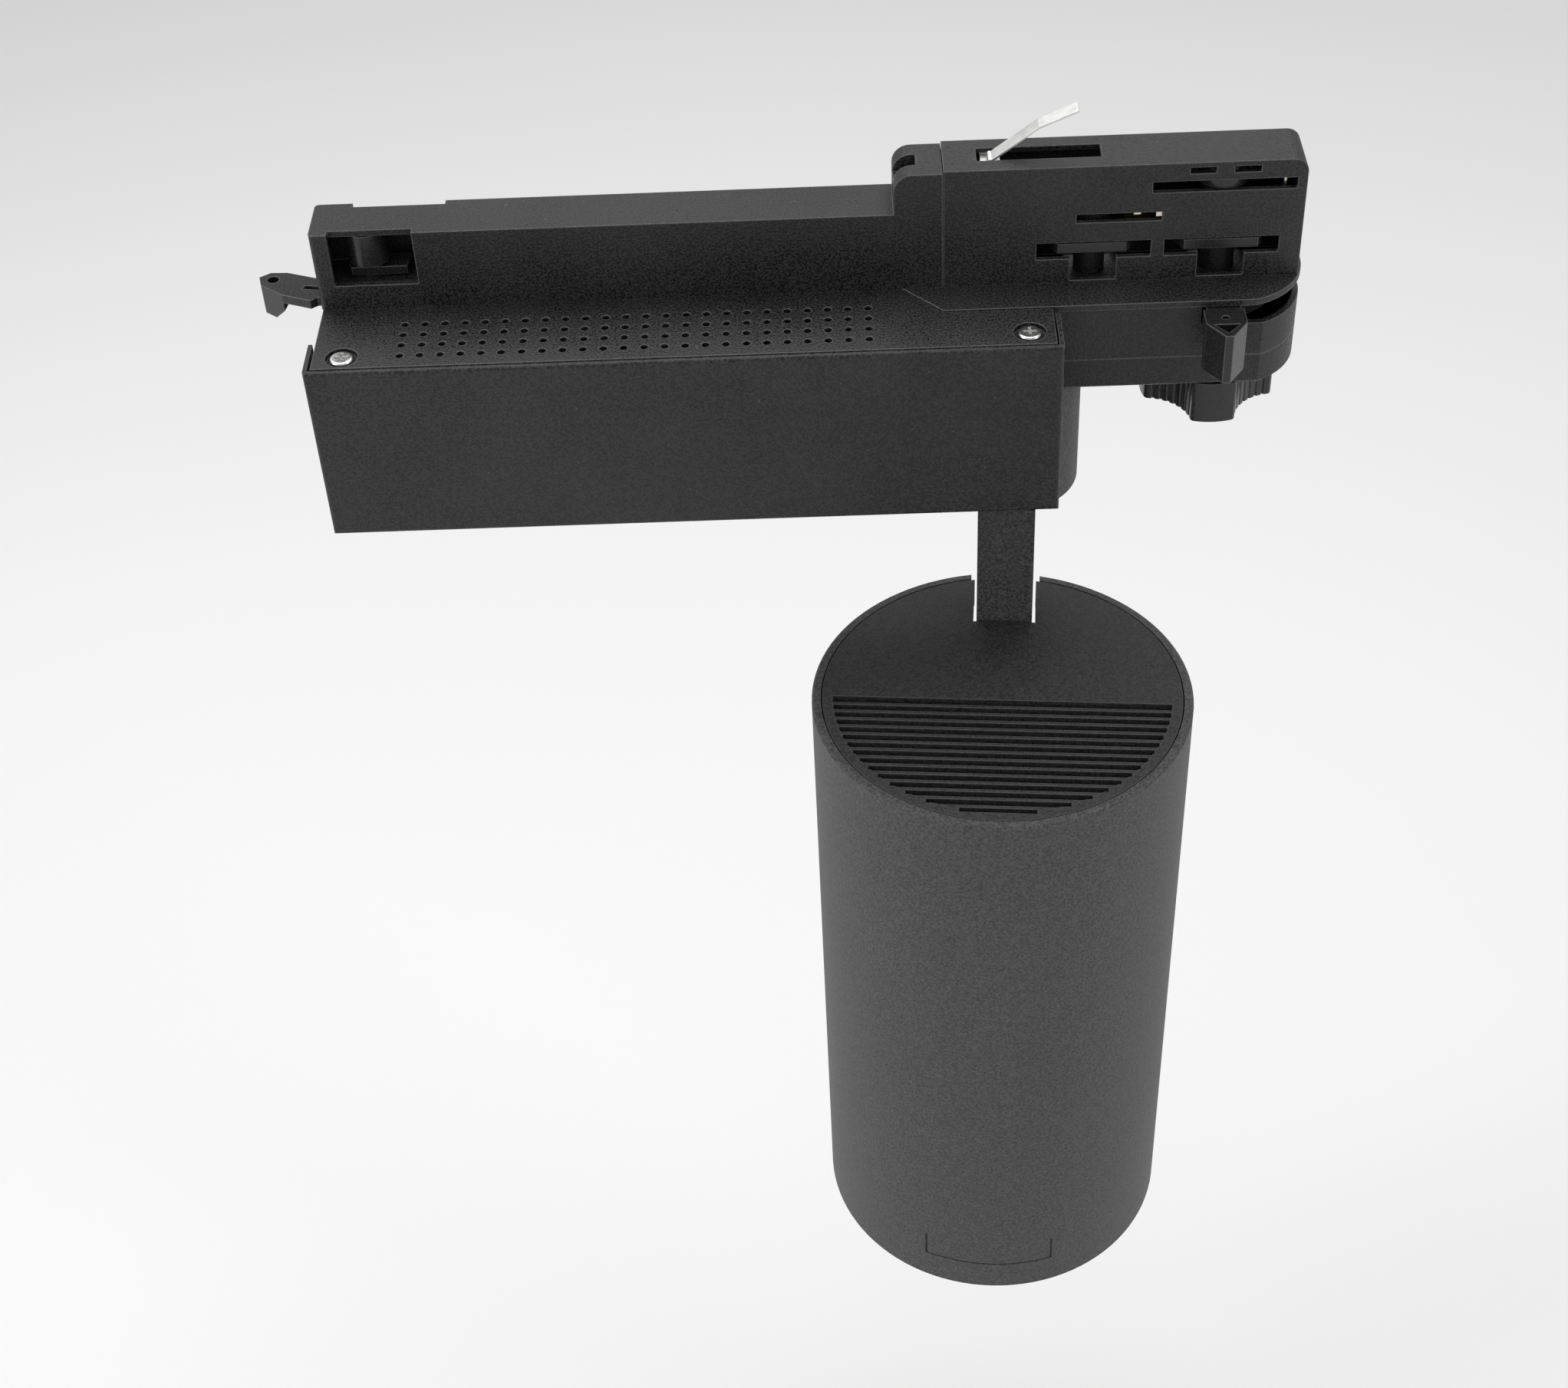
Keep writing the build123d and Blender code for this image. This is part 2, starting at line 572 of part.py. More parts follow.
def swivel_base():
    body = rod(PAN_X, 0, BARREL_R, BARREL_BOTTOM, BARREL_BOTTOM + 3)
    body = chamfer(body.faces().sort_by(Axis.Z)[0].edges(), 0.8)
    for x, y in SWIVEL_SCREWS:
        body = body - rod(PAN_X + x, y, 1.5, -70, -50)
        body = body - rod(PAN_X + x, y, 2.8, BARREL_BOTTOM - 1, BARREL_BOTTOM + 1.6)
    for y in (-6.5, 5.5):
        body = body - rod(PAN_X, y, 1.2, BARREL_BOTTOM - 1, BARREL_BOTTOM + 4)
    return body - rod(PAN_X, 0, 2.6, -70, -50)


def swivel_screws():
    screws = []
    for x, y in SWIVEL_SCREWS:
        z = BARREL_BOTTOM + 0.1
        head = rod(PAN_X + x, y, 2.6, z, z + 1.4)
        head = head - rod(PAN_X + x, y, 1.2, z - 1, z + 0.8)
        screws.append(head + rod(PAN_X + x, y, 1.1, z + 1.4, z + 13))
    return union(screws)


def arm_bar():
    half = ARM_W / 2
    back = ARM_FRONT + ARM_T
    z1 = BARREL_BOTTOM
    upright = block(PAN_X - half, PAN_X + half, ARM_FRONT, back, PIVOT_Z, z1)
    foot = block(PAN_X - half, PAN_X + half, ARM_FRONT, 9.0, z1 - 4, z1)
    body = upright + foot
    inside = [e for e in body.edges().filter_by(Axis.X) if e.center().Y > back - 0.1]
    inside = [e for e in inside if e.center().Y < back + 0.1 and e.center().Z > z1 - 5]
    body = fillet(inside, 3.0)
    body = body + cross_rod(PAN_X - half, PAN_X + half, PIVOT_Y, PIVOT_Z, 6.0)
    body = body - block(PAN_X - 1.9, PAN_X + 1.9, back - 3.1, back + 1, PIVOT_Z + 6.5, z1 - 4)
    body = body - block(PAN_X - 1.9, PAN_X + 1.9, back - 3.1, back + 4, z1 - 12, z1 - 4)
    body = body - rod(PAN_X, 0, 2.6, z1 - 5, z1 + 1)
    for y in (-6.5, 5.5):
        body = body - rod(PAN_X, y, 1.5, z1 - 5, z1 + 1)
    return body - cross_rod(PAN_X - 10, PAN_X + 10, PIVOT_Y, PIVOT_Z, 2.5)


def arm_screws():
    screws = []
    for y in (-6.5, 5.5):
        z = BARREL_BOTTOM - 4
        head = rod(PAN_X, y, 2.6, z - 1.8, z)
        head = head - rod(PAN_X, y, 1.2, z - 2, z - 0.8)
        screws.append(head + rod(PAN_X, y, 1.1, z, z + 6.5))
    return union(screws)


def arm_cable():
    y = ARM_FRONT + ARM_T - 1.45
    route = [(PAN_X, 0, -38), (PAN_X, 0, -71.5), (PAN_X, y, -84), (PAN_X, y, PIVOT_Z + 8)]
    return lead(route, 1.55, 8)


def tilt_pin():
    x = PAN_X
    shaft = cross_rod(x - 14.0, x + 11.4, PIVOT_Y, PIVOT_Z, 2.5)
    return shaft + cross_rod(x + 11.4, x + 14.0, PIVOT_Y, PIVOT_Z, 4.6)


def tilt_nut():
    x = PAN_X - 11.4
    hexagon = extrude(RegularPolygon(4.6, 6), 2.2)
    nut = Pos(x, PIVOT_Y, PIVOT_Z) * Rot(0, -90, 0) * hexagon
    return nut - cross_rod(x - 5, x + 1, PIVOT_Y, PIVOT_Z, 2.5)


# ---- head ----------------------------------------------------------------------


def head_rod(r, z0, z1):
    return rod(PAN_X, HEAD_Y, r, z0, z1)


def arm_slot(width, front, z0, z1):
    return block(PAN_X - width / 2, PAN_X + width / 2, front, 20, z0, z1)


def head_tube():
    bottom = HEAD_TOP - HEAD_LEN
    body = head_rod(HEAD_R, bottom, HEAD_TOP)
    ends = [e for e in body.edges() if e.geom_type == GeomType.CIRCLE]
    body = chamfer(ends, 0.6)
    body = body - head_rod(HEAD_R - HEAD_WALL, bottom - 1, HEAD_TOP + 1)
    body = body - arm_slot(SLOT_W + 2, -10, PIVOT_Z - 4.4, HEAD_TOP + 1)
    return body - release_groove()


def release_groove():
    """Fine U-shaped line around the press tab low on the front wall."""
    bottom = HEAD_TOP - HEAD_LEN
    z0, z1 = bottom + TAB_LOW, bottom + TAB_HIGH
    outer = block(PAN_X - TAB_HALF, PAN_X + TAB_HALF, HEAD_Y - 60, HEAD_Y, z0, z1)
    inner_half = TAB_HALF - 0.6
    inner = block(PAN_X - inner_half, PAN_X + inner_half, HEAD_Y - 60, HEAD_Y, z0 + 0.6, z1 + 1)
    skin = head_rod(HEAD_R + 1, z0 - 1, z1 + 2) - head_rod(HEAD_R - 0.5, z0 - 2, z1 + 3)
    return (outer - inner) & skin


def rear_cap():
    r = HEAD_R - HEAD_WALL - 0.35
    z1 = HEAD_TOP - 0.1
    body = head_rod(r, z1 - CAP_T, z1) - arm_slot(SLOT_W, ARM_FRONT - 0.8, z1 - 9, z1 + 1)
    first = 3.5
    last = first + LOUVRE_PITCH * (LOUVRES - 1)
    y0, y1 = HEAD_Y - last - LOUVRE_HALF, HEAD_Y - first + LOUVRE_HALF
    recess = block(PAN_X - 50, PAN_X + 50, y0, y1, z1 - 0.4, z1 + 1)
    body = body - (recess & head_rod(44.5, z1 - 1, z1 + 2))
    for i in range(LOUVRES):
        y = first + LOUVRE_PITCH * i
        half = sqrt(44.5**2 - y**2)
        x0, x1 = PAN_X - half, PAN_X + half
        body = body - block(x0, x1, HEAD_Y - y - LOUVRE_HALF, HEAD_Y - y + LOUVRE_HALF, z1 - 9, z1 + 1)
    skirt = head_rod(r, z1 - CAP_T - 5, z1 - CAP_T) - head_rod(r - 1.6, z1 - 20, z1)
    return body + (skirt - arm_slot(SLOT_W, -20, z1 - 20, z1))


def heat_sink():
    r = HEAD_R - HEAD_WALL - 0.05
    body = head_rod(r, SINK_Z, SINK_Z + 6)
    for i in range(7):
        y = -16.0 + 8.0 * i + 5.0
        half = sqrt(44.0**2 - y**2)
        x0, x1 = PAN_X - half, PAN_X + half
        body = body + block(x0, x1, HEAD_Y - y - 1, HEAD_Y - y + 1, SINK_Z + 5, HEAD_TOP - 10)
    body = body - block(PAN_X - 17, PAN_X + 17, -34, 10, SINK_Z + 6, HEAD_TOP)
    for x in (-6.0, 6.0):
        body = body - rod(PAN_X + x, -6, 1.2, SINK_Z + 1, SINK_Z + 8)
    for side in (-1, 1):
        body = body - rod(PAN_X + side * LED_SCREW_X, HEAD_Y, 1.0, SINK_Z - 1, SINK_Z + 4.6)
        body = body - rod(PAN_X + side * LED_LEAD_X, LED_LEAD_Y, 1.3, SINK_Z - 1, SINK_Z + 7)
    return body


def tilt_bracket():
    z0 = SINK_Z + 6
    body = block(PAN_X - 11.3, PAN_X + 11.3, -24, -2, z0, z0 + 3)
    for side in (-1, 1):
        x0, x1 = sorted((PAN_X + side * 8.3, PAN_X + side * 11.3))
        ear = block(x0, x1, PIVOT_Y - 8, PIVOT_Y + 8, z0, PIVOT_Z)
        body = body + ear + cross_rod(x0, x1, PIVOT_Y, PIVOT_Z, 8)
    for x in (-6.0, 6.0):
        body = body - rod(PAN_X + x, -6, 1.5, z0 - 1, z0 + 4)
    return body - cross_rod(PAN_X - 15, PAN_X + 15, PIVOT_Y, PIVOT_Z, 2.5 + RUN)


def bracket_screws():
    screws = []
    for x in (-6.0, 6.0):
        z = SINK_Z + 9
        screws.append(rod(PAN_X + x, -6, 1.15, z - 7, z) + rod(PAN_X + x, -6, 2.0, z, z + 1.5))
    return union(screws)


def friction_washers():
    washers = []
    for side in (-1, 1):
        x0, x1 = sorted((PAN_X + side * 7.55, PAN_X + side * 8.25))
        disc = cross_rod(x0, x1, PIVOT_Y, PIVOT_Z, 6.5)
        washers.append(disc - cross_rod(x0 - 1, x1 + 1, PIVOT_Y, PIVOT_Z, 2.5 + RUN))
    return union(washers)


def led_board():
    return block(PAN_X - 12, PAN_X + 12, HEAD_Y - 12, HEAD_Y + 12, SINK_Z - 1.5, SINK_Z)


def led_emitter():
    return head_rod(7.0, SINK_Z - 2.3, SINK_Z - 1.5)


def led_holder():
    ring = head_rod(19, SINK_Z - 5.0, SINK_Z) - head_rod(8.0, SINK_Z - 6, SINK_Z + 1)
    ring = ring - block(PAN_X - 12.1, PAN_X + 12.1, HEAD_Y - 12.1, HEAD_Y + 12.1, SINK_Z - 1.6, 0)
    for side in (-1, 1):
        x = PAN_X + side * LED_SCREW_X
        ring = ring - rod(x, HEAD_Y, 1.2, SINK_Z - 6, SINK_Z + 1)
        ring = ring - rod(x, HEAD_Y, 2.2, SINK_Z - 6, SINK_Z - 3.4)
        ring = ring - rod(PAN_X + side * LED_LEAD_X, LED_LEAD_Y, 1.0, SINK_Z - 2.2, SINK_Z + 1)
    return ring


def led_screws():
    screws = []
    for side in (-1, 1):
        x = PAN_X + side * LED_SCREW_X
        head = rod(x, HEAD_Y, 1.9, SINK_Z - 4.9, SINK_Z - 3.4)
        drive = rod(x, HEAD_Y, 0.8, SINK_Z - 6, SINK_Z - 4.1)
        screws.append((head - drive) + rod(x, HEAD_Y, 0.95, SINK_Z - 3.4, SINK_Z + 4.2))
    return union(screws)


def led_leads():
    wires = []
    for side in (-1, 1):
        x = PAN_X + side * 14.0
        low = PAN_X + side * LED_LEAD_X
        route = [(x, -22.0, PIVOT_Z + 2), (x, -22.0, SINK_Z + 11.0)]
        route = route + [(low, LED_LEAD_Y, SINK_Z + 11.0), (low, LED_LEAD_Y, SINK_Z - 2.0)]
        wires.append(lead(route, 0.8, 2.5))
    return union(wires)


def reflector():
    z0, z1 = SINK_Z - 5.1, -268.0
    profile = [(9.5, z0), (20.0, z0 - 14), (31.0, z0 - 42), (39.0, z0 - 78), (43.5, z1)]
    outer = Spline(*profile)
    inner = Spline(*[(r - 1.2 if r > 9.5 else 8.3, z) for r, z in profile])
    rim = Line(outer @ 1, inner @ 1)
    throat = Line(inner @ 0, outer @ 0)
    face = Plane.XZ * make_face([outer, rim, inner, throat])
    cone = revolve(face, Axis.Z)
    return Pos(PAN_X, HEAD_Y, 0) * cone


def front_lens():
    return head_rod(HEAD_R - HEAD_WALL - 0.4, -271.3, -268.3)


def front_ring():
    r = HEAD_R - HEAD_WALL
    return head_rod(r, -275.5, -271.4) - head_rod(r - 4.0, -280, -270)


# ---- all pieces ------------------------------------------------------------------

FIXED = [
    adapter_shell, adapter_base, neck_lower_shell, neck_screws, phase_contacts, neutral_contact,
    earth_anchor,
    track_bar, driver_top_plate, driver_tray, driver_front_cover, cover_screws, driver_board,
    transformer_core, transformer_coil, capacitors, line_choke, terminal_blocks, heat_spreader,
    mains_leads, output_leads, pan_nipple, pan_washer, pan_nut,
]
MOVING = [
    lock_lever, lock_rotor_right, lock_rotor_left, lock_link, selector_knob, selector_spindle,
    contact_drum, contact_blade, earth_leaf, latch_lever, latch_rotor,
]
LAMP = [
    swivel_barrel, swivel_base, swivel_screws, arm_bar, arm_screws, arm_cable, tilt_pin, tilt_nut,
    head_tube, rear_cap, heat_sink, tilt_bracket, bracket_screws, friction_washers, led_board,
    led_emitter, led_holder, led_screws, led_leads, reflector, front_lens, front_ring,
]

os.makedirs("parts", exist_ok=True)
for make in FIXED + MOVING:
    export_step(make(), "parts/" + make.__name__ + ".step")
for make in LAMP:
    export_step(turned(make()), "parts/" + make.__name__ + ".step")
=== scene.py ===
# %% [markdown]
# # A spotlight for a lighting track
#
# The lamp is built in three layers. The engineering model gives every hard piece its true shape
# and place, and it is loaded here as it is. This lesson then gives each piece its finish: black
# moulded plastic, black powder coat, plated steel, bare metal, mirror and glass. One piece, the
# reflector, is modelled again, because small flat facets make its look.

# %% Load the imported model
import math

import bmesh
import bpy
from mathutils import Matrix, Vector


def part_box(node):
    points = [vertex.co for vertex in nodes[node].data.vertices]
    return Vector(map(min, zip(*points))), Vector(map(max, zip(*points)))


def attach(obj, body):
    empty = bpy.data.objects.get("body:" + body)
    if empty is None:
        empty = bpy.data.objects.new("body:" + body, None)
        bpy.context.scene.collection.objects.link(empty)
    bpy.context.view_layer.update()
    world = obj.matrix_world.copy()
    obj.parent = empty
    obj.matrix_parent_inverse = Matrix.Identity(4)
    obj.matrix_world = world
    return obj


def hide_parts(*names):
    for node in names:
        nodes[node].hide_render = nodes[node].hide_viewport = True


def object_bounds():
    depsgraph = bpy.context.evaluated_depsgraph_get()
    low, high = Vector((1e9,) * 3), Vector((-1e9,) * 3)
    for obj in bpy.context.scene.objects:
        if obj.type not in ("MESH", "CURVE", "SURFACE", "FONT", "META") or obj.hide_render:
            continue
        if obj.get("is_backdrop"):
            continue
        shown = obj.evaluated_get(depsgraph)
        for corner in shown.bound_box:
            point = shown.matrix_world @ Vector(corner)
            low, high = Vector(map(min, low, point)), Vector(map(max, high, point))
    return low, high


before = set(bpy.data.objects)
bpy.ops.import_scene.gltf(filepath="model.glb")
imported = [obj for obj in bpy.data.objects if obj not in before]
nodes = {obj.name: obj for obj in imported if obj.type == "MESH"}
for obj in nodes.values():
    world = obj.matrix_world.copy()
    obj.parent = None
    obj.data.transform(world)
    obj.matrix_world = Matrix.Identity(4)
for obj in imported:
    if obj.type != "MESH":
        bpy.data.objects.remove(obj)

model_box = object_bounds()
print("size in mm:", [round(1000 * side, 1) for side in model_box[1] - model_box[0]])

# %% [markdown]
# ## Camera
#
# The camera stands half a metre in front of the lamp and a third of a metre above it, and looks
# down at about 43 degrees, so that the tops of the driver box and of the lamp's head both show. A
# camera can be aimed with a constraint, but a rotation made from its own forward, right and up
# directions is exact and stays put. The small shift only centres the lamp in the picture.

# %% Place the camera
YAW, PITCH, ROLL = 0.0260973, -0.7432734, -0.0505278
EYE = Vector((-0.026729, -0.538925, 0.347597))
LENS_MM, SENSOR_MM = 58.156, 36.0
SHIFT_X, SHIFT_Y = -0.01041, 0.01160

along = math.cos(PITCH)
forward = Vector((-math.sin(YAW) * along, math.cos(YAW) * along, math.sin(PITCH)))
level = Vector((math.cos(YAW), math.sin(YAW), 0.0))
upright = level.cross(forward)
right = math.cos(ROLL) * level + math.sin(ROLL) * upright
up = math.cos(ROLL) * upright - math.sin(ROLL) * level

lens = bpy.data.cameras.new("studio_camera")
lens.lens = LENS_MM
lens.sensor_width = SENSOR_MM
lens.shift_x = SHIFT_X
lens.shift_y = SHIFT_Y
lens.clip_start = 0.01
camera = bpy.data.objects.new("studio_camera", lens)
turn = Matrix((right, up, -forward)).transposed()
camera.matrix_world = Matrix.Translation(EYE) @ turn.to_4x4()
bpy.context.scene.collection.objects.link(camera)
bpy.context.scene.camera = camera
print("camera looks down", round(-math.degrees(PITCH), 1), "degrees")

# %% [markdown]
# ## Writing a finish as an expression
#
# A finish is a network of nodes. Wiring it by hand hides the idea in dozens of links, so one small
# class wraps a socket and gives it arithmetic: `1 - worn` adds a Math node by itself. Colours must
# not pass through a Math node, which would turn them grey, so blending has its own method. Every
# other node comes from a single method that takes its type, its settings and its sockets.

# %% A socket with arithmetic
class Field:
    """A value that varies over the surface."""

    def __init__(self, finish, socket):
        self.finish = finish
        self.socket = socket

    def _math(self, operation, first, second):
        return self.finish.node("ShaderNodeMath", {"operation": operation}, {0: first, 1: second})

    def __add__(self, other):
        return self._math("ADD", self, other)

    def __radd__(self, other):
        return self._math("ADD", other, self)

    def __sub__(self, other):
        return self._math("SUBTRACT", self, other)

    def __rsub__(self, other):
        return self._math("SUBTRACT", other, self)

    def __mul__(self, other):
        return self._math("MULTIPLY", self, other)

    def __rmul__(self, other):
        return self._math("MULTIPLY", other, self)

    def clamped(self):
        settings = {"operation": "ADD", "use_clamp": True}
        return self.finish.node("ShaderNodeMath", settings, {0: self, 1: 0.0})


# %% [markdown]
# A finish starts as a shader with its fixed numbers set on the shader's own sockets. What varies,
# such as grain, dust and the painted highlight along the edges, is wired afterwards. A noise keeps
# to the middle of its range, so each finish says which part of that range to stretch, and a narrow
# part gives a harder contrast.

# %% A finish and its one way to make nodes
HARD, FIRM, GENTLE = (0.36, 0.64), (0.35, 0.65), (0.30, 0.70)
EDGE_RANGE = (0.01, 0.14)


class Finish:
    """One material, and the nodes that it is made of."""

    def __init__(self, name, **constants):
        self.material = bpy.data.materials.new(name)
        self.material.use_nodes = True
        self.tree = self.material.node_tree
        self.shader = self.tree.nodes["Principled BSDF"]
        for socket, value in constants.items():
            self.shader.inputs[socket.replace("_", " ")].default_value = value
        place = self.tree.nodes.new("ShaderNodeTexCoord")
        self.place = Field(self, place.outputs["Object"])

    def node(self, kind, settings=None, sockets=None, output=0):
        made = self.tree.nodes.new(kind)
        for name, value in (settings or {}).items():
            setattr(made, name, value)
        for name, value in (sockets or {}).items():
            if isinstance(value, Field):
                self.tree.links.new(value.socket, made.inputs[name])
            else:
                made.inputs[name].default_value = value
        return Field(self, made.outputs[output])

    def feed(self, socket, field):
        self.tree.links.new(field.socket, self.shader.inputs[socket])

    def noise(self, size, detail=2.0, stretch=(1, 1, 1)):
        """Cloudy noise whose patches are about `size` metres across."""
        where = self.place
        if stretch != (1, 1, 1):
            where = self.node("ShaderNodeVectorMath", {"operation": "MULTIPLY"}, {0: where, 1: stretch})
        return self.node("ShaderNodeTexNoise", None, {"Vector": where, "Scale": 1 / size, "Detail": detail})

    def cells(self, size):
        """Rounded cells, lowest in their middles."""
        return self.node("ShaderNodeTexVoronoi", None, {"Vector": self.place, "Scale": 1 / size})

    def spread(self, field, low, high):
        """Stretches a part of a field's range to the full range from 0 to 1."""
        wanted = {"Value": field, "From Min": low, "From Max": high}
        return self.node("ShaderNodeMapRange", {"clamp": True}, wanted)

    def blend(self, amount, first, second):
        """A colour between two others, each a fixed colour or one that already varies."""
        first, second = [c if isinstance(c, Field) else (*c, 1.0) for c in (first, second)]
        return self.node("ShaderNodeMix", {"data_type": "RGBA"}, {0: amount, 6: first, 7: second}, 2)

    def rounded(self, radius):
        """The surface's direction as if its edges were rounded."""
        return self.node("ShaderNodeBevel", {"samples": 6}, {"Radius": radius})

    def edges(self, radius):
        """1 along sharp edges and 0 on faces."""
        bent = self.rounded(radius)
        flat = self.node("ShaderNodeNewGeometry", None, None, "Normal")
        settings = {"operation": "DOT_PRODUCT"}
        same = self.node("ShaderNodeVectorMath", settings, {0: bent, 1: flat}, "Value")
        return self.spread(1 - same, *EDGE_RANGE)

    def raise_by(self, height, distance, strength=1.0, radius=0.0):
        wanted = {"Height": height, "Distance": distance, "Strength": strength}
        if radius:
            wanted["Normal"] = self.rounded(radius)
        self.feed("Normal", self.node("ShaderNodeBump", None, wanted))


finishes = {}
print("the finish tools are ready")

# %% [markdown]
# ## Black moulded plastic
#
# The adapter, the bar and the driver box are injection moulded. The tool's walls are spark eroded,
# which prints a fine matte grain on the plastic, and the sharp edges, where the tool closes, come
# out smoother. A noise of about half a millimetre gives the grain, a larger one varies the sheen
# as handling does, a sparse one leaves a few flecks of dust, and the edge mask makes the edges
# smoother and paints a thin line of light along them, a painted highlight in the base colour.
# The levers and the knob come from a polished tool.

# %% Moulded plastic, in a matte and a smoother kind
DUST = (0.16, 0.16, 0.16)
DUST_RANGE = (0.76, 0.82)
PAINTED_EDGE_HIGHLIGHT = (0.20, 0.20, 0.20)


def moulded(name, dark, light, sheen, grain_size, grain_depth, edge_radius):
    f = Finish(name, Specular_IOR_Level=0.45)
    grain = f.spread(f.noise(grain_size, 1.0), *HARD)
    handling = f.spread(f.noise(0.03, 4.0), *FIRM)
    fleck = f.spread(f.noise(0.0012, 1.0), *DUST_RANGE)
    painted_highlight_edges = f.edges(edge_radius)
    shade = (grain * 0.75 + handling * 0.25).clamped()
    plain = f.blend(shade, dark, light)
    dusty = f.blend(fleck * 0.35, plain, DUST)
    # painted highlight: the base colour turns a lighter grey along the edges, as if light caught them
    f.feed("Base Color", f.blend(painted_highlight_edges * 0.75, dusty, PAINTED_EDGE_HIGHLIGHT))
    f.feed("Roughness", (sheen + grain * (sheen * 0.75) + handling * 0.05 - painted_highlight_edges * 0.12).clamped())
    f.raise_by(grain, grain_depth, 0.8, edge_radius)
    finishes[name] = f.material


moulded(
    "matte_moulding",
    dark=(0.0005, 0.0005, 0.0005),
    light=(0.036, 0.036, 0.037),
    sheen=0.34,
    grain_size=0.00055,
    grain_depth=0.000075,
    edge_radius=0.00050,
)
moulded(
    "smooth_moulding",
    dark=(0.0120, 0.0120, 0.0120),
    light=(0.025, 0.025, 0.026),
    sheen=0.16,
    grain_size=0.00050,
    grain_depth=0.000004,
    edge_radius=0.00045,
)
print("mouldings:", sorted(finishes))

# %% [markdown]
# ## Black powder coat
#
# The head, the arm and the swivel are aluminium under a baked powder. Powder melts into a skin of
# tiny rounded lumps, so it scatters light more widely than the plastic and looks lighter. Cells
# make the lumps and a noise breaks up their order. The sheen is broad, without a sharp highlight.
# The cap is coated apart from the tube, in a deeper black, and its thin bars carry a stronger painted
# highlight along their edges.

# %% Powder coat
LUMP_SIZE, LUMP_DEPTH = 0.00072, 0.000120
LUMP_RANGE = (0.1, 0.7)
COAT_EDGE = 0.0004
PAINTED_COAT_EDGE_HIGHLIGHT = (0.16, 0.16, 0.16)


def powder(name, black, edge_highlight_strength):
    f = Finish(name, Specular_IOR_Level=0.35)
    lumps = f.spread(f.cells(LUMP_SIZE), *LUMP_RANGE)
    broken = f.spread(f.noise(0.00068, 1.0), *HARD)
    cloud = f.spread(f.noise(0.05, 3.0), *FIRM)
    painted_highlight_edges = f.edges(COAT_EDGE)
    shade = (lumps * 0.40 + broken * 0.50 + cloud * 0.08).clamped()
    plain = f.blend(shade, [0.30 * c for c in black], [1.80 * c for c in black])
    # painted highlight: the coat turns a lighter grey along the edges, most strongly on the cap's thin bars
    f.feed("Base Color", f.blend(painted_highlight_edges * edge_highlight_strength, plain, PAINTED_COAT_EDGE_HIGHLIGHT))
    f.feed("Roughness", (0.50 + broken * 0.12 + cloud * 0.04 - painted_highlight_edges * 0.08).clamped())
    f.raise_by(lumps * 0.5 + broken * 0.5, LUMP_DEPTH, 0.9, COAT_EDGE)
    finishes[name] = f.material


powder("powder_coat", black=(0.058, 0.058, 0.060), edge_highlight_strength=0.30)
powder("cap_coat", black=(0.030, 0.030, 0.031), edge_highlight_strength=0.75)
print("powder coat ready")

# %% [markdown]
# ## Metals
#
# Screws and pins are zinc plated, which leaves a bright skin with faint clouding. The contacts are
# nickel flashed brass and the earth leaf is rolled strip, so it keeps fine lines along its length.
# The heat sink is a rough black metal, as painted shade, so the band seen behind the cap's bars stays dark.
# One function
# covers them all: a colour, a sheen, and how far the noise is drawn out into lines.

# %% Plated, rolled and bare metals
METAL_EDGE = 0.0002
ALONG_X, ALONG_Z = (0.1, 1, 1), (1, 1, 0.06)


def metal(name, colour, sheen, lines=(1, 1, 1), depth=0.000006):
    f = Finish(name, Metallic=1.0)
    cloud = f.spread(f.noise(0.004, 3.0), *GENTLE)
    drawn = f.spread(f.noise(0.0006, 2.0, lines), *GENTLE)
    painted_highlight_edges = f.edges(METAL_EDGE)
    # along the edges the metal's colour turns lighter, a painted highlight
    shade = (cloud * 0.45 + drawn * 0.35 + painted_highlight_edges * 0.3).clamped()
    f.feed("Base Color", f.blend(shade, [0.80 * c for c in colour], colour))
    f.feed("Roughness", (sheen + cloud * 0.08 + drawn * 0.08).clamped())
    f.raise_by(drawn, depth, 0.5, METAL_EDGE)
    finishes[name] = f.material


metal("zinc_plating", (0.86, 0.86, 0.85), sheen=0.18)
metal("rolled_strip", (0.95, 0.95, 0.94), sheen=0.36, lines=(0.08, 1, 1))
metal("contact_nickel", (0.86, 0.80, 0.66), sheen=0.20, lines=ALONG_X)
metal("extruded_aluminium", (0.66, 0.67, 0.69), sheen=0.34, lines=ALONG_Z)
# painted shade: the heat sink is made black so the band seen behind the cap's bars stays dark
metal("heat_sink_painted_shade", (0.030, 0.030, 0.032), sheen=0.45, lines=ALONG_Z)
metal("enamelled_copper", (0.70, 0.30, 0.12), sheen=0.25, lines=(1, 1, 8), depth=0.00008)
metal("mirror_coat", (0.93, 0.93, 0.92), sheen=0.05, depth=0.000001)
print("metals ready:", len(finishes), "finishes so far")

# %% [markdown]
# ## Insides and light source
#
# The driver's parts hide in the box, but they show when the lid is off, so each has its own plain
# finish with a little colour variation. The light source is a yellow silicone dome, because the
# phosphor that turns blue light white is itself yellow. The lens is clear glass, where only the
# fixed numbers matter and a trace of handling varies the sheen.

# %% Small parts, phosphor and glass
def dyed(name, colour, sheen, size=0.002, **constants):
    f = Finish(name, **constants)
    mottle = f.spread(f.noise(size, 3.0), *GENTLE)
    f.feed("Base Color", f.blend(mottle, [0.8 * c for c in colour], colour))
    f.feed("Roughness", (sheen + mottle * 0.1).clamped())
    f.raise_by(mottle, 0.00001, 0.4, 0.0002)
    finishes[name] = f.material


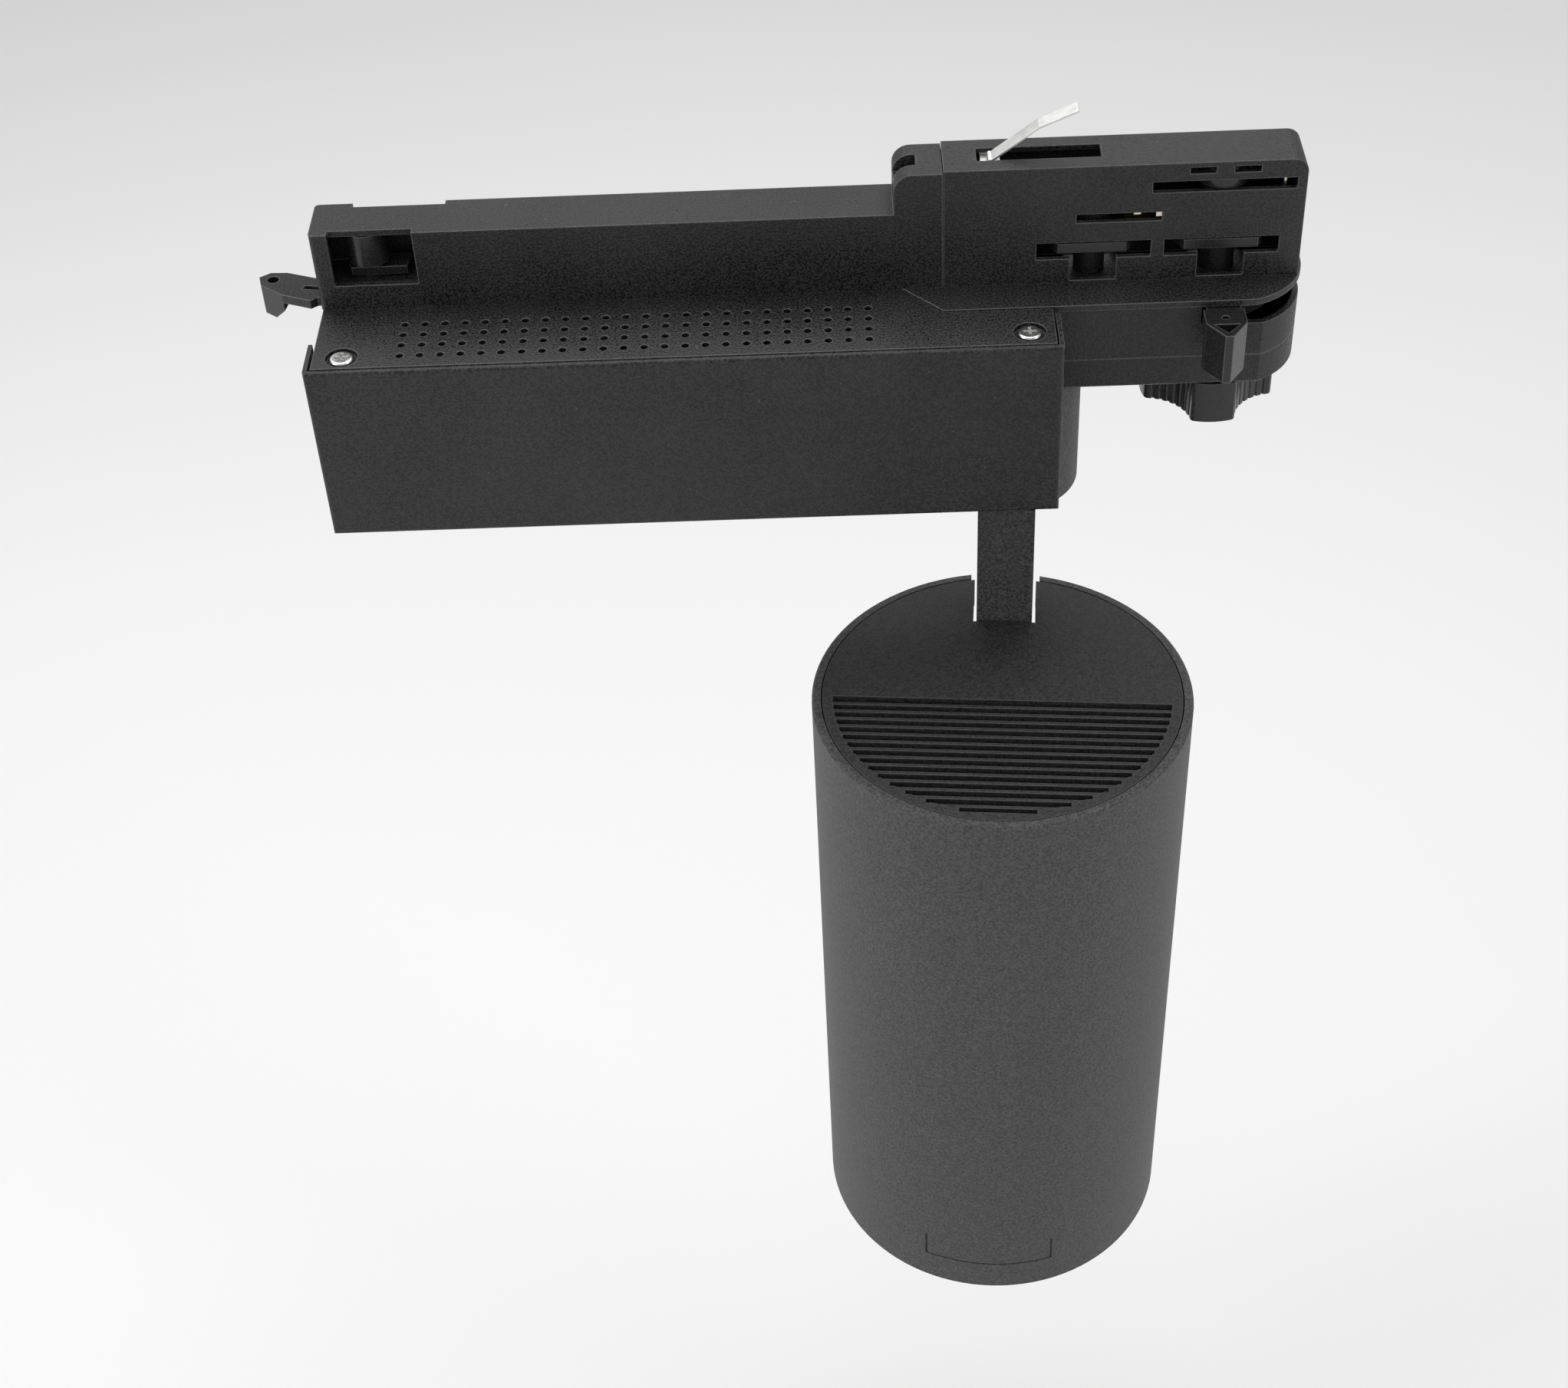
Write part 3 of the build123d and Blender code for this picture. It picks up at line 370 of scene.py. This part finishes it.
GLASS = {"Transmission_Weight": 1.0, "IOR": 1.5}
dyed("solder_resist", (0.02, 0.17, 0.06), sheen=0.28)
dyed("sintered_core", (0.05, 0.05, 0.055), sheen=0.60, size=0.0006)
dyed("shrink_sleeve", (0.02, 0.04, 0.12), sheen=0.22)
dyed("grey_moulding", (0.30, 0.30, 0.31), sheen=0.45, size=0.0008)
dyed("white_moulding", (0.80, 0.80, 0.77), sheen=0.40, size=0.0008)
dyed("silicone_cover", (0.03, 0.03, 0.03), sheen=0.55, size=0.001)
dyed("phosphor_dome", (0.90, 0.68, 0.10), sheen=0.30, size=0.0007)
dyed("clear_glass", (0.97, 0.98, 0.98), sheen=0.0, size=0.02, **GLASS)
print("finishes:", ", ".join(sorted(finishes)))

# %% [markdown]
# ## Dressing the pieces
#
# Each piece keeps its shape and only changes its material slot. The list is by finish, since that
# is how a workshop would sort the parts before assembly. A piece that is in no group, or in two,
# would be a mistake, so the cell counts them.

# %% Give every piece its finish
dressed = {
    "matte_moulding": "adapter_shell adapter_base neck_lower_shell track_bar driver_top_plate "
    "driver_tray driver_front_cover",
    "smooth_moulding": "lock_lever lock_rotor_right lock_rotor_left lock_link selector_knob "
    "selector_spindle contact_drum latch_lever latch_rotor",
    "powder_coat": "swivel_barrel swivel_base arm_bar head_tube front_ring",
    "cap_coat": "rear_cap",
    "zinc_plating": "neck_screws cover_screws swivel_screws arm_screws bracket_screws led_screws "
    "pan_nipple pan_nut pan_washer tilt_pin tilt_nut tilt_bracket",
    "rolled_strip": "earth_leaf earth_anchor",
    "contact_nickel": "phase_contacts neutral_contact contact_blade",
    "extruded_aluminium": "heat_spreader led_board",
    "heat_sink_painted_shade": "heat_sink",
    "enamelled_copper": "transformer_coil line_choke",
    "sintered_core": "transformer_core",
    "solder_resist": "driver_board",
    "shrink_sleeve": "capacitors",
    "grey_moulding": "terminal_blocks friction_washers",
    "white_moulding": "led_holder",
    "silicone_cover": "mains_leads output_leads arm_cable led_leads",
    "phosphor_dome": "led_emitter",
    "mirror_coat": "reflector",
    "clear_glass": "front_lens",
}
times = {}
for finish, names in dressed.items():
    for name in names.split():
        times[name] = times.get(name, 0) + 1
        if not nodes[name].material_slots:
            nodes[name].data.materials.append(None)
        for slot in nodes[name].material_slots:
            slot.material = finishes[finish]
print("dressed once:", sum(1 for n in times.values() if n == 1), "of", len(nodes))
print("not dressed:", sorted(set(nodes) - set(times)))

# %% [markdown]
# ## The reflector
#
# A reflector like this is pressed or moulded with rows of small flat facets, which mix the image
# of the light source into an even beam. A smooth surface with a bump would still reflect one
# smooth image, so the facets are real: flat triangles between rings of corners, and every second
# ring is turned by half a facet. The back stays round, and the two rims close the shell.

# %% Measure the cup and shape its profile
low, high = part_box("reflector")
axis_x, axis_y = (low.x + high.x) / 2, (low.y + high.y) / 2
throat_z, depth = high.z, high.z - low.z
outline = [(0.0095, 0.0), (0.0200, 0.014), (0.0310, 0.042), (0.0390, 0.078), (0.0435, depth)]
WALL = 0.0012
FACETS = 40
ROWS = 14
CROWDING = 1.25  # above 1, the rows are closer together at the throat


def cup_radius(drop):
    """Outer radius at a distance below the throat."""
    for (r0, z0), (r1, z1) in zip(outline, outline[1:]):
        if drop <= z1 + 1e-9:
            t = (drop - z0) / (z1 - z0)
            return r0 + (r1 - r0) * t
    return outline[-1][0]


print("cup depth in mm:", round(1000 * depth, 1))


# %% Build the faceted cup
def facet_ring(mesh, drop, inset, offset):
    radius = cup_radius(drop) - inset
    ring = []
    for i in range(FACETS):
        angle = 2 * math.pi * (i + offset) / FACETS
        x, y = axis_x + radius * math.cos(angle), axis_y + radius * math.sin(angle)
        ring.append(mesh.verts.new((x, y, throat_z - drop)))
    return ring


cup = bmesh.new()
drops = [depth * (k / ROWS) ** CROWDING for k in range(ROWS + 1)]
inner = [facet_ring(cup, d, WALL, 0.5 * (k % 2)) for k, d in enumerate(drops)]
outer = [facet_ring(cup, d, 0.0, 0.0) for d in drops]
for k, (upper, lower) in enumerate(zip(inner, inner[1:])):
    for i in range(FACETS):
        j = (i + 1) % FACETS
        if k % 2 == 0:
            cup.faces.new((upper[i], upper[j], lower[i]))
            cup.faces.new((upper[j], lower[j], lower[i]))
        else:
            cup.faces.new((upper[i], upper[j], lower[j]))
            cup.faces.new((upper[i], lower[j], lower[i]))
for upper, lower in zip(outer, outer[1:]):
    for i in range(FACETS):
        j = (i + 1) % FACETS
        cup.faces.new((upper[i], lower[i], lower[j], upper[j])).smooth = True
for first, second in ((inner[0], outer[0]), (outer[-1], inner[-1])):
    for i in range(FACETS):
        j = (i + 1) % FACETS
        cup.faces.new((first[i], second[i], second[j], first[j]))
bmesh.ops.recalc_face_normals(cup, faces=cup.faces)
cup_mesh = bpy.data.meshes.new("faceted_reflector")
cup.to_mesh(cup_mesh)
cup.free()
cup_mesh.materials.append(finishes["mirror_coat"])
reflector = bpy.data.objects.new("faceted_reflector", cup_mesh)
bpy.context.scene.collection.objects.link(reflector)
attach(reflector, "head")
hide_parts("reflector")
print("facets on the cup:", 2 * FACETS * ROWS)

# %% [markdown]
# ## Floor and light
#
# The lamp hangs from its track, so the floor lies well below it and only a soft shadow reaches it.
# Black things are lit by what they reflect: a wide soft panel overhead draws the tops lighter than
# the fronts, and two tall panels at the sides draw thin lines along the edges. The standard view
# transform keeps pale paper pale, where a film-like one would turn it grey.

# %% Studio floor
FLOOR_BELOW = 0.16
FLOOR_REACH = 6.0
floor_z = model_box[0].z - FLOOR_BELOW
around = [(-1, -1), (1, -1), (1, 1), (-1, 1)]
corners = [(FLOOR_REACH * x, FLOOR_REACH * y, floor_z) for x, y in around]
floor_mesh = bpy.data.meshes.new("studio_floor")
floor_mesh.from_pydata(corners, [], [(0, 1, 2, 3)])
floor = bpy.data.objects.new("studio_floor", floor_mesh)
bpy.context.scene.collection.objects.link(floor)
paper = Finish("studio_paper", Roughness=0.9, Specular_IOR_Level=0.1)
fibre = paper.spread(paper.noise(0.4, 3.0), *GENTLE)
paper.feed("Base Color", paper.blend(fibre, (0.90, 0.90, 0.90), (0.91, 0.91, 0.91)))
floor_mesh.materials.append(paper.material)
floor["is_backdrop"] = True
print("floor at", round(floor_z, 3), "m")

# %% Soft panels and sky
AIR_LIGHT = 0.50
world = bpy.data.worlds.new("studio_air")
world.use_nodes = True
air = world.node_tree.nodes["Background"]
air.inputs["Color"].default_value = (1.0, 1.0, 1.0, 1.0)
air.inputs["Strength"].default_value = AIR_LIGHT
bpy.context.scene.world = world
bpy.context.scene.view_settings.view_transform = "Standard"


def panel(name, where, towards, width, height, power):
    """A soft rectangular light. Its power is in watts."""
    light = bpy.data.lights.new(name, "AREA")
    light.shape = "RECTANGLE"
    light.size = width
    light.size_y = height
    light.energy = power
    lamp = bpy.data.objects.new(name, light)
    lamp.location = where
    aim = Vector(towards) - Vector(where)
    lamp.rotation_euler = aim.to_track_quat("-Z", "Y").to_euler()
    bpy.context.scene.collection.objects.link(lamp)


panel("overhead_panel", (-0.10, 0.30, 0.80), (-0.03, -0.02, -0.05), width=1.3, height=0.9, power=8.0)
panel("left_panel", (-1.20, -0.40, 0.35), (-0.03, 0.0, -0.1), width=0.5, height=1.2, power=5.5)
panel("right_panel", (1.10, -0.55, 0.30), (0.03, 0.0, -0.1), width=0.5, height=1.2, power=3.5)

# %% [markdown]
# ## Compare sizes and finish
#
# The finished look must not be larger than the engineering model, so both boxes are measured and the script
# prints how far their corners moved.

# %% Compare the sizes and finish
final_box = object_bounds()
moved = max((a - b).length for a, b in zip(model_box, final_box))
print("the box's corners moved by", round(1000 * moved, 3), "mm")
